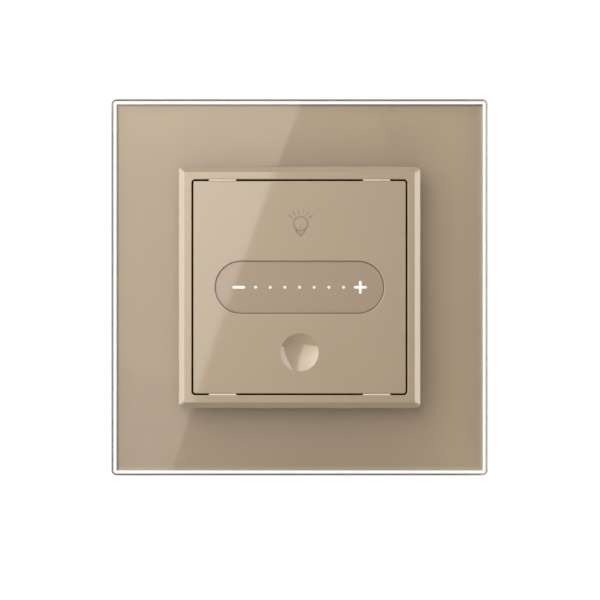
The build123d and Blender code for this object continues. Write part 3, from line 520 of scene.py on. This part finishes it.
def raised_bar(shape, start, end, width):
    """A ridge with sloping flanks and round ends on the cover's face, from start to end in (x, z)."""
    run = Vector((end[0] - start[0], 0.0, end[1] - start[1]))
    made = bmesh.ops.create_cone(shape, cap_ends=True, segments=bar_sides, radius1=width / 2,
                                 radius2=width / 2 - bulb_flank, depth=bulb_rise + bulb_root)["verts"]
    half_side = Matrix.Rotation(pi / bar_sides, 3, "Z")
    bmesh.ops.rotate(shape, cent=(0.0, 0.0, 0.0), matrix=half_side, verts=made)
    for vertex in made:
        vertex.co.y += run.length / 2 * (1 if vertex.co.y > 0 else -1)
    out = Vector((0.0, -1.0, 0.0))
    along = run.normalized() if run.length else Vector((0.0, 0.0, 1.0))
    turn = Matrix((along.cross(out), along, out)).transposed()
    bmesh.ops.rotate(shape, cent=(0.0, 0.0, 0.0), matrix=turn, verts=made)
    level = cover_face - (bulb_rise - bulb_root) / 2
    middle = ((start[0] + end[0]) / 2, level, (start[1] + end[1]) / 2)
    bmesh.ops.translate(shape, vec=middle, verts=made)


def make_bulb_sign():
    """A generic light bulb with rays, raised on the cover above the slider. Its lacquer is darker than the
    cover's, as painted shade on the strokes.
    """
    shape = bmesh.new()
    inner, outer = bulb_radius - bulb_line / 2, bulb_radius + bulb_line / 2
    section = [(inner, bulb_root), (inner + bulb_flank, -bulb_rise), (outer - bulb_flank, -bulb_rise),
               (outer, bulb_root)]
    corners = [shape.verts.new((x, y, 0.0)) for x, y in section]
    rim = [shape.edges.new((first, second)) for first, second in zip(corners, corners[1:] + corners[:1])]
    bmesh.ops.spin(shape, geom=corners + rim, cent=(0.0, 0.0, 0.0), axis=(0.0, 1.0, 0.0), angle=2 * pi,
                   steps=bulb_steps, use_merge=True)
    bmesh.ops.translate(shape, vec=(bulb_side, cover_face, bulb_height), verts=shape.verts)
    bulb_foot = bulb_height - bulb_radius
    tip = (bulb_side, bulb_height - tip_drop)
    for side in (bulb_side - neck_side, bulb_side + neck_side):
        raised_bar(shape, (side, bulb_foot + neck_top), (side, bulb_foot + neck_foot), bulb_line)
        raised_bar(shape, (side, bulb_foot + neck_foot), tip, bulb_line)
    for step in range(ray_count):
        angle = ray_pitch * (step - (ray_count - 1) / 2)
        near, far = ((bulb_side + reach * sin(angle), bulb_height + reach * cos(angle))
                     for reach in (ray_start, ray_end))
        raised_bar(shape, near, far, ray_line)
    filament = (bulb_side, bulb_height - filament_drop)
    raised_bar(shape, filament, filament, filament_width)
    finished(shape, "bulb_sign", "satin_plastic", "cover", look="sign_painted_shade")


def make_gap_shade_sheet():
    """A near-black sheet round the cover's skirt, low in the gap to the bezel: painted shade that darkens the
    gap.
    """
    shape = bmesh.new()
    front = cover_face + sheet_depth
    square_ring(shape, cover_half - sheet_bite, cover_half + cover_gap - sheet_play, front, front + sheet_height)
    finished(shape, "gap_shade_sheet", "black_plastic", "cover", look="gap_shade_black")


def make_latch_noses():
    """The noses on the four latches, in pale plastic, which fill the gap at the top and bottom of the cover.
    Their paleness is partly painted highlight, for the bright line that the tabs catch.
    """
    shape = bmesh.new()
    inner, outer = cover_half + nose_slit, cover_half + cover_gap
    front, back = cover_face - nose_rise, cover_face + nose_depth
    for side in (-nose_offset, nose_offset):
        for level in (-(inner + outer) / 2, (inner + outer) / 2):
            block = bmesh.ops.create_cube(shape, size=1.0)["verts"]
            bmesh.ops.scale(shape, vec=(nose_width, back - front, outer - inner), verts=block)
            bmesh.ops.translate(shape, vec=(side, (front + back) / 2, level), verts=block)
    finished(shape, "latch_noses", "carrier_plastic", "cover")


make_paint_layer()
make_bulb_sign()
make_gap_shade_sheet()
make_latch_noses()


# ---- Floor, lights and camera ----

def stage_sheet(name, corners, material, spot=(0.0, 0.0, 0.0)):
    """A flat sheet that isn't part of the object, with its corners in order about a spot."""
    shape = bmesh.new()
    shape.faces.new([shape.verts.new(corner) for corner in corners])
    mesh = bpy.data.meshes.new(name)
    shape.to_mesh(mesh)
    shape.free()
    mesh.materials.append(material)
    sheet = bpy.data.objects.new(name, mesh)
    sheet.location = spot
    bpy.context.scene.collection.objects.link(sheet)
    return sheet


def lamp_panel(name, spot, aim, size, level):
    """A soft rectangular lamp that points at aim. Its level is how bright its face is, with white as 1."""
    lamp = bpy.data.lights.new(name, "AREA")
    lamp.shape = "RECTANGLE"
    lamp.size, lamp.size_y = size
    lamp.energy = level * pi * size[0] * size[1]
    holder = bpy.data.objects.new(name, lamp)
    holder.location = spot
    holder.rotation_euler = (Vector(aim) - Vector(spot)).to_track_quat("-Z", "Y").to_euler()
    holder.visible_camera = False
    bpy.context.scene.collection.objects.link(holder)
    return holder


# The floor's half sides, how far it lies below the object, and its share of white for the camera.
floor_side, floor_deep, floor_drop = 0.45, 0.25, 0.06
floor_lift = 0.6


def make_floor():
    """A pale floor under the object, lifted towards white where the camera sees it directly."""
    material, tree = new_tree("pale floor")
    noise = put(tree, "ShaderNodeTexNoise", Vector=place(tree), Scale=40.0, Detail=4.0)
    tone = blend_colours(tree, noise.outputs["Fac"], colour(0.50, 0.50, 0.49), colour(0.54, 0.54, 0.53))
    matt = put(tree, "ShaderNodeBsdfPrincipled", Base_Color=tone, Roughness=0.8)
    shine = put(tree, "ShaderNodeEmission", Color=white, Strength=1.0)
    path = tree.nodes.new("ShaderNodeLightPath")
    lift = maths(tree, "MULTIPLY", path.outputs["Is Camera Ray"], floor_lift)
    mixed_output(tree, lift, matt.outputs["BSDF"], shine.outputs["Emission"])
    corners = [(-floor_side, -floor_deep, 0.0), (floor_side, -floor_deep, 0.0),
               (floor_side, floor_deep, 0.0), (-floor_side, floor_deep, 0.0)]
    stage_sheet("floor", corners, material, spot=(0.0, 0.0, cad_box[0][2] - floor_drop))


# The camera looks straight at the front, a little below the middle of the glass.
view_distance = 0.7618
camera_drop = 2.90 * MM
camera_side = 0.10 * MM


def make_camera():
    """A long lens straight in front of the glass."""
    lens = bpy.data.cameras.new("front_camera")
    lens.lens = 200.0
    lens.sensor_width = 36.0
    camera = bpy.data.objects.new("front_camera", lens)
    camera.location = (camera_side, glass_face - view_distance, -camera_drop)
    camera.rotation_euler = (pi / 2, 0.0, 0.0)
    bpy.context.scene.collection.objects.link(camera)
    bpy.context.scene.camera = camera


# A wide card hangs before the glass, nearer than the camera, and only gloss sees it. Glass and cover
# mirror its two soft boxes. The left one's slanting edge runs over the glass from edge_top to edge_bottom,
# in (x, z), with a slight bow, and above the glass it leans by edge_bend. Right of the edge a weaker glow
# fades out. The levels rise with the height, which goes from -1 to 1 over the glass. The right box starts
# at right_foot and leans by right_lean as it rises.
card_distance = 0.441
card_low, card_high = Vector((-0.60, -0.20)), Vector((0.60, 0.54))
edge_top, edge_bottom = Vector((0.05 * MM, 41.3 * MM)), Vector((-28.9 * MM, -41.2 * MM))
edge_bow, edge_soft, edge_bend = 0.9 * MM, 1.0 * MM, 0.13
left_glow, left_rise, left_growth = 2.0, 0.35, 3.5
near_glow, near_rise, near_fade = 0.45, 0.15, 4.5
right_glow, right_foot, right_lean = 2.6, 0.345, -0.396
left_tint = colour(1.10, 1.04, 0.95)


def mirrored(spot):
    """Where the card shows at a spot (x, z) of the glass face."""
    reach = 1.0 + card_distance / view_distance
    return Vector((spot.x * reach, spot.y * reach + (reach - 1.0) * camera_drop))


def make_card():
    """The card with its two soft boxes. It adds their glow to the white studio behind it."""
    top, bottom = mirrored(edge_top), mirrored(edge_bottom)
    lean = (top.x - bottom.x) / (top.y - bottom.y)
    material, tree = new_tree("card")
    parts = put(tree, "ShaderNodeSeparateXYZ", Vector=place(tree))
    side, up = parts.outputs["X"], parts.outputs["Z"]
    height = maths(tree, "MAXIMUM", maths(tree, "MINIMUM", maths(tree, "DIVIDE", up, top.y), 1.0), -1.0)

    belly = maths(tree, "SUBTRACT", 1.0, maths(tree, "MULTIPLY", height, height))
    climb = maths(tree, "SUBTRACT", up, top.y)
    below = maths(tree, "MULTIPLY_ADD", maths(tree, "MINIMUM", climb, 0.0), lean, top.x)
    edge = maths(tree, "MULTIPLY_ADD", maths(tree, "MAXIMUM", climb, 0.0), edge_bend, below)
    edge = maths(tree, "MULTIPLY_ADD", belly, -edge_bow, edge)
    past = maths(tree, "SUBTRACT", side, edge)
    share = ramp(tree, past, -edge_soft, edge_soft)

    left = maths(tree, "MULTIPLY_ADD", height, left_rise, left_glow)
    left = maths(tree, "MULTIPLY_ADD", maths(tree, "MINIMUM", past, 0.0), -left_growth, left)
    near = maths(tree, "MULTIPLY_ADD", height, near_rise, near_glow)
    near = maths(tree, "MAXIMUM", maths(tree, "MULTIPLY_ADD", past, -near_fade, near), 0.0)
    glow = maths(tree, "MULTIPLY", maths(tree, "SUBTRACT", 1.0, share), left)
    glow = maths(tree, "MULTIPLY_ADD", share, near, glow)

    right_edge = maths(tree, "MULTIPLY_ADD", up, right_lean, right_foot)
    right = ramp(tree, maths(tree, "SUBTRACT", side, right_edge), -edge_soft, edge_soft)
    glow = maths(tree, "MULTIPLY_ADD", right, right_glow, glow)

    shine = put(tree, "ShaderNodeEmission", Color=blend_colours(tree, share, left_tint, white), Strength=glow)
    clear = put(tree, "ShaderNodeBsdfTransparent")
    both = tree.nodes.new("ShaderNodeAddShader")
    tree.links.new(shine.outputs["Emission"], both.inputs[0])
    tree.links.new(clear.outputs["BSDF"], both.inputs[1])
    put(tree, "ShaderNodeOutputMaterial", Surface=both.outputs["Shader"])

    level = glass_face - card_distance
    corners = [(card_low.x, level, card_low.y), (card_high.x, level, card_low.y),
               (card_high.x, level, card_high.y), (card_low.x, level, card_high.y)]
    card = stage_sheet("card", corners, material)
    card.visible_camera = False
    card.visible_diffuse = False
    card.visible_transmission = False


def make_lamps():
    """Panels at both sides and behind, and three fills that light the paint but don't show in gloss."""
    centre = (0.0, 0.0, 0.0)
    right = {"spot": (0.33, 0.12, 0.14), "aim": (0.0, 0.12, 0.14), "size": (0.28, 0.56)}
    lamp_panel("left_panel", spot=(-0.38, 0.05, 0.12), aim=(0.0, 0.05, 0.12), size=(0.28, 0.50), level=2.7)
    lamp_panel("right_panel", level=2.5, **right)
    key = lamp_panel("key", spot=(-0.11, -0.17, 0.10), aim=centre, size=(0.30, 0.30), level=1.95)
    front_fill = lamp_panel("front_fill", spot=(-0.05, -0.45, 0.10), aim=centre, size=(0.5, 0.5), level=0.5)
    right_fill = lamp_panel("right_fill", level=8.0, **right)
    for fill in (key, front_fill, right_fill):
        fill.visible_glossy = False
    lamp_panel("back_panel", spot=(0.35, 0.75, 0.45), aim=centre, size=(0.5, 0.5), level=4.0)


fill_level = 0.08


def make_world():
    """A white studio for the camera, and for gloss and glass before any matt bounce. A weak fill else."""
    world = bpy.data.worlds.new("studio")
    bpy.context.scene.world = world
    world.use_nodes = True
    tree = world.node_tree
    tree.nodes.clear()
    path = tree.nodes.new("ShaderNodeLightPath")
    seen = maths(tree, "MAXIMUM", path.outputs["Is Camera Ray"], path.outputs["Is Glossy Ray"])
    seen = maths(tree, "MAXIMUM", seen, path.outputs["Is Transmission Ray"])
    direct = maths(tree, "LESS_THAN", path.outputs["Diffuse Depth"], 0.5)
    seen = maths(tree, "MULTIPLY", seen, direct)
    level = maths(tree, "MULTIPLY_ADD", seen, 1.0 - fill_level, fill_level)
    sky = put(tree, "ShaderNodeBackground", Color=white, Strength=level)
    put(tree, "ShaderNodeOutputWorld", Surface=sky.outputs["Background"])


make_floor()
make_camera()
make_card()
make_lamps()
make_world()
bpy.context.scene.view_settings.view_transform = "Standard"
